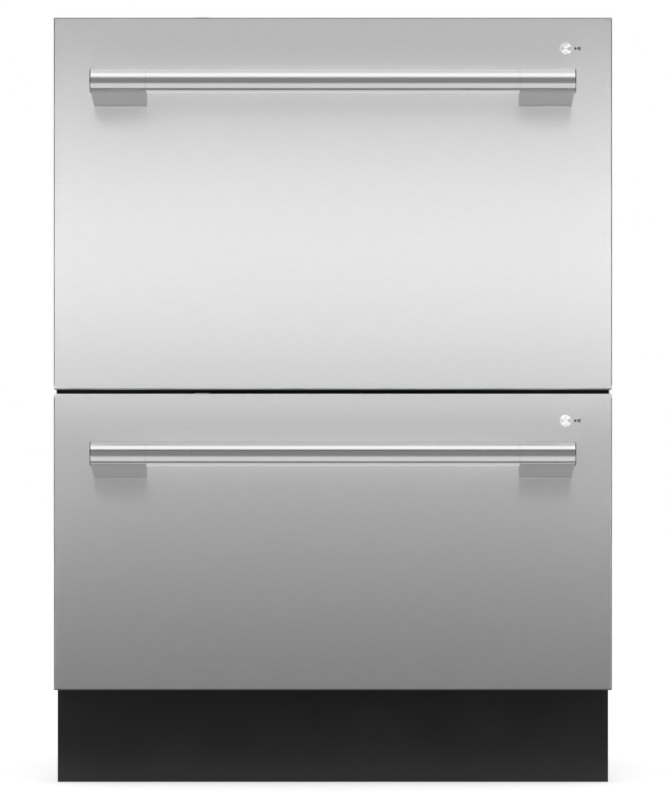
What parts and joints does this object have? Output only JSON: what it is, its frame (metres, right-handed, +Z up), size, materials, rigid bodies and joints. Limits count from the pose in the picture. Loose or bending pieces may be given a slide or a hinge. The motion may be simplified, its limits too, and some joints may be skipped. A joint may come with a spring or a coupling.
{
  "type": "double drawer dishwasher",
  "caption": "Built-in double dishwasher with two full-width stainless steel drawer fronts, round bar handles and a recessed black kick panel.",
  "frame": {"origin": "floor level under the centre of the whole appliance, handles included", "axes": "+X to the viewer's right, drawer fronts facing -Y, +Z up"},
  "size_m": [0.597, 0.628, 0.822],
  "materials": {
    "black_plastic": "matte",
    "black_rubber": "matte",
    "black_steel": "satin",
    "button_lens": "gloss",
    "coated_wire": "satin",
    "galvanised_steel": "satin",
    "grey_plastic": "matte",
    "handle_metal": "satin",
    "motor_body": "satin",
    "rail_steel": "satin",
    "seal_rubber": "matte",
    "stainless_steel": "satin",
    "white_plastic": "satin"
  },
  "bodies": {
    "chassis": {"left_side_panel": "galvanised_steel", "right_side_panel": "galvanised_steel", "top_panel": "galvanised_steel", "rear_panel": "galvanised_steel", "base_pan": "black_plastic", "middle_cross_rail": "black_steel", "kick_panel": "black_steel", "leg_sockets": "black_plastic", "hose_outlet": "black_rubber", "lid_actuators": "black_plastic", "upper_outer_rails": "rail_steel", "lower_outer_rails": "rail_steel"},
    "front_left_foot": {"front_left_foot": "black_plastic"},
    "front_right_foot": {"front_right_foot": "black_plastic"},
    "rear_left_foot": {"rear_left_foot": "black_plastic"},
    "rear_right_foot": {"rear_right_foot": "black_plastic"},
    "upper_drawer": {"upper_front_panel": "stainless_steel", "upper_front_housing": "black_plastic", "upper_control_strip": "black_plastic", "upper_handle_bar": "handle_metal", "upper_handle_posts": "handle_metal", "upper_tub": "grey_plastic", "upper_wash_motor": "motor_body", "upper_filter_plate": "stainless_steel", "upper_dispenser": "white_plastic", "upper_basket_floor": "coated_wire", "upper_basket_sides": "coated_wire", "upper_inner_rails": "rail_steel"},
    "upper_left_mid_rail": {"upper_left_mid_rail": "rail_steel"},
    "upper_right_mid_rail": {"upper_right_mid_rail": "rail_steel"},
    "upper_lid": {"upper_lid": "white_plastic", "upper_lid_seal": "seal_rubber"},
    "upper_start_button": {"upper_start_button": "button_lens"},
    "upper_power_key": {"upper_power_key": "button_lens"},
    "upper_dispenser_cover": {"upper_dispenser_cover": "grey_plastic"},
    "upper_spray_arm": {"upper_spray_arm": "grey_plastic"},
    "upper_folding_tines": {"upper_folding_tines": "coated_wire"},
    "lower_drawer": {"lower_front_panel": "stainless_steel", "lower_front_housing": "black_plastic", "lower_control_strip": "black_plastic", "lower_handle_bar": "handle_metal", "lower_handle_posts": "handle_metal", "lower_tub": "grey_plastic", "lower_wash_motor": "motor_body", "lower_filter_plate": "stainless_steel", "lower_dispenser": "white_plastic", "lower_basket_floor": "coated_wire", "lower_basket_sides": "coated_wire", "lower_inner_rails": "rail_steel"},
    "lower_left_mid_rail": {"lower_left_mid_rail": "rail_steel"},
    "lower_right_mid_rail": {"lower_right_mid_rail": "rail_steel"},
    "lower_lid": {"lower_lid": "white_plastic", "lower_lid_seal": "seal_rubber"},
    "lower_start_button": {"lower_start_button": "button_lens"},
    "lower_power_key": {"lower_power_key": "button_lens"},
    "lower_dispenser_cover": {"lower_dispenser_cover": "grey_plastic"},
    "lower_spray_arm": {"lower_spray_arm": "grey_plastic"},
    "lower_folding_tines": {"lower_folding_tines": "coated_wire"},
    "upper_cup_rack": {"upper_cup_rack": "coated_wire"},
    "upper_cutlery_basket": {"upper_cutlery_basket": "grey_plastic"}
  },
  "joints": [
    {"name": "front_left_foot_height", "type": "slide", "parent": "chassis", "child": "front_left_foot", "axis": [0, 0, -1], "range_m": [0, 0.06]},
    {"name": "front_right_foot_height", "type": "slide", "parent": "chassis", "child": "front_right_foot", "axis": [0, 0, -1], "range_m": [0, 0.06]},
    {"name": "rear_left_foot_height", "type": "slide", "parent": "chassis", "child": "rear_left_foot", "axis": [0, 0, -1], "range_m": [0, 0.06]},
    {"name": "rear_right_foot_height", "type": "slide", "parent": "chassis", "child": "rear_right_foot", "axis": [0, 0, -1], "range_m": [0, 0.06]},
    {"name": "upper_drawer_slide", "type": "slide", "parent": "chassis", "child": "upper_drawer", "axis": [0, -1, 0], "range_m": [0, 0.52]},
    {"name": "upper_left_mid_rail_slide", "type": "slide", "parent": "chassis", "child": "upper_left_mid_rail", "axis": [0, -1, 0], "range_m": [0, 0.26]},
    {"name": "upper_right_mid_rail_slide", "type": "slide", "parent": "chassis", "child": "upper_right_mid_rail", "axis": [0, -1, 0], "range_m": [0, 0.26]},
    {"name": "upper_lid_drop", "type": "slide", "parent": "chassis", "child": "upper_lid", "axis": [0, 0, -1], "range_m": [0, 0.008]},
    {"name": "upper_start_press", "type": "slide", "parent": "upper_drawer", "child": "upper_start_button", "axis": [0, 1, 0], "range_m": [0, 0.0008], "stiffness_N_per_m": 600, "springref_m": -0.001},
    {"name": "upper_power_press", "type": "slide", "parent": "upper_drawer", "child": "upper_power_key", "axis": [0, 0, -1], "range_m": [0, 0.0008], "stiffness_N_per_m": 600, "springref_m": -0.001},
    {"name": "upper_dispenser_slide", "type": "slide", "parent": "upper_drawer", "child": "upper_dispenser_cover", "axis": [1, 0, 0], "range_m": [0, 0.072]},
    {"name": "upper_spray_arm_spin", "type": "hinge", "parent": "upper_drawer", "child": "upper_spray_arm", "pos_m": [0, 0.004, 0.512], "axis": [0, 0, 1], "continuous": true},
    {"name": "upper_tine_fold", "type": "hinge", "parent": "upper_drawer", "child": "upper_folding_tines", "pos_m": [-0.09, 0.004, 0.54099], "axis": [0, 1, 0], "range_deg": [0, 88]},
    {"name": "lower_drawer_slide", "type": "slide", "parent": "chassis", "child": "lower_drawer", "axis": [0, -1, 0], "range_m": [0, 0.52]},
    {"name": "lower_left_mid_rail_slide", "type": "slide", "parent": "chassis", "child": "lower_left_mid_rail", "axis": [0, -1, 0], "range_m": [0, 0.26]},
    {"name": "lower_right_mid_rail_slide", "type": "slide", "parent": "chassis", "child": "lower_right_mid_rail", "axis": [0, -1, 0], "range_m": [0, 0.26]},
    {"name": "lower_lid_drop", "type": "slide", "parent": "chassis", "child": "lower_lid", "axis": [0, 0, -1], "range_m": [0, 0.008]},
    {"name": "lower_start_press", "type": "slide", "parent": "lower_drawer", "child": "lower_start_button", "axis": [0, 1, 0], "range_m": [0, 0.0008], "stiffness_N_per_m": 600, "springref_m": -0.001},
    {"name": "lower_power_press", "type": "slide", "parent": "lower_drawer", "child": "lower_power_key", "axis": [0, 0, -1], "range_m": [0, 0.0008], "stiffness_N_per_m": 600, "springref_m": -0.001},
    {"name": "lower_dispenser_slide", "type": "slide", "parent": "lower_drawer", "child": "lower_dispenser_cover", "axis": [1, 0, 0], "range_m": [0, 0.072]},
    {"name": "lower_spray_arm_spin", "type": "hinge", "parent": "lower_drawer", "child": "lower_spray_arm", "pos_m": [0, 0.004, 0.186], "axis": [0, 0, 1], "continuous": true},
    {"name": "lower_tine_fold", "type": "hinge", "parent": "lower_drawer", "child": "lower_folding_tines", "pos_m": [-0.09, 0.004, 0.21499], "axis": [0, 1, 0], "range_deg": [0, 88]},
    {"name": "upper_cup_rack_fold", "type": "hinge", "parent": "upper_drawer", "child": "upper_cup_rack", "pos_m": [0.257, 0.084, 0.6546], "axis": [0, 1, 0], "range_deg": [0, 95]},
    {"name": "upper_cutlery_basket_lift", "type": "slide", "parent": "upper_drawer", "child": "upper_cutlery_basket", "axis": [0, 0, 1], "range_m": [0, 0.13]}
  ],
  "couplings": [
    {"joint": "upper_left_mid_rail_slide", "follows": "upper_drawer_slide", "ratio": 0.5},
    {"joint": "upper_right_mid_rail_slide", "follows": "upper_drawer_slide", "ratio": 0.5},
    {"joint": "lower_left_mid_rail_slide", "follows": "lower_drawer_slide", "ratio": 0.5},
    {"joint": "lower_right_mid_rail_slide", "follows": "lower_drawer_slide", "ratio": 0.5}
  ]
}
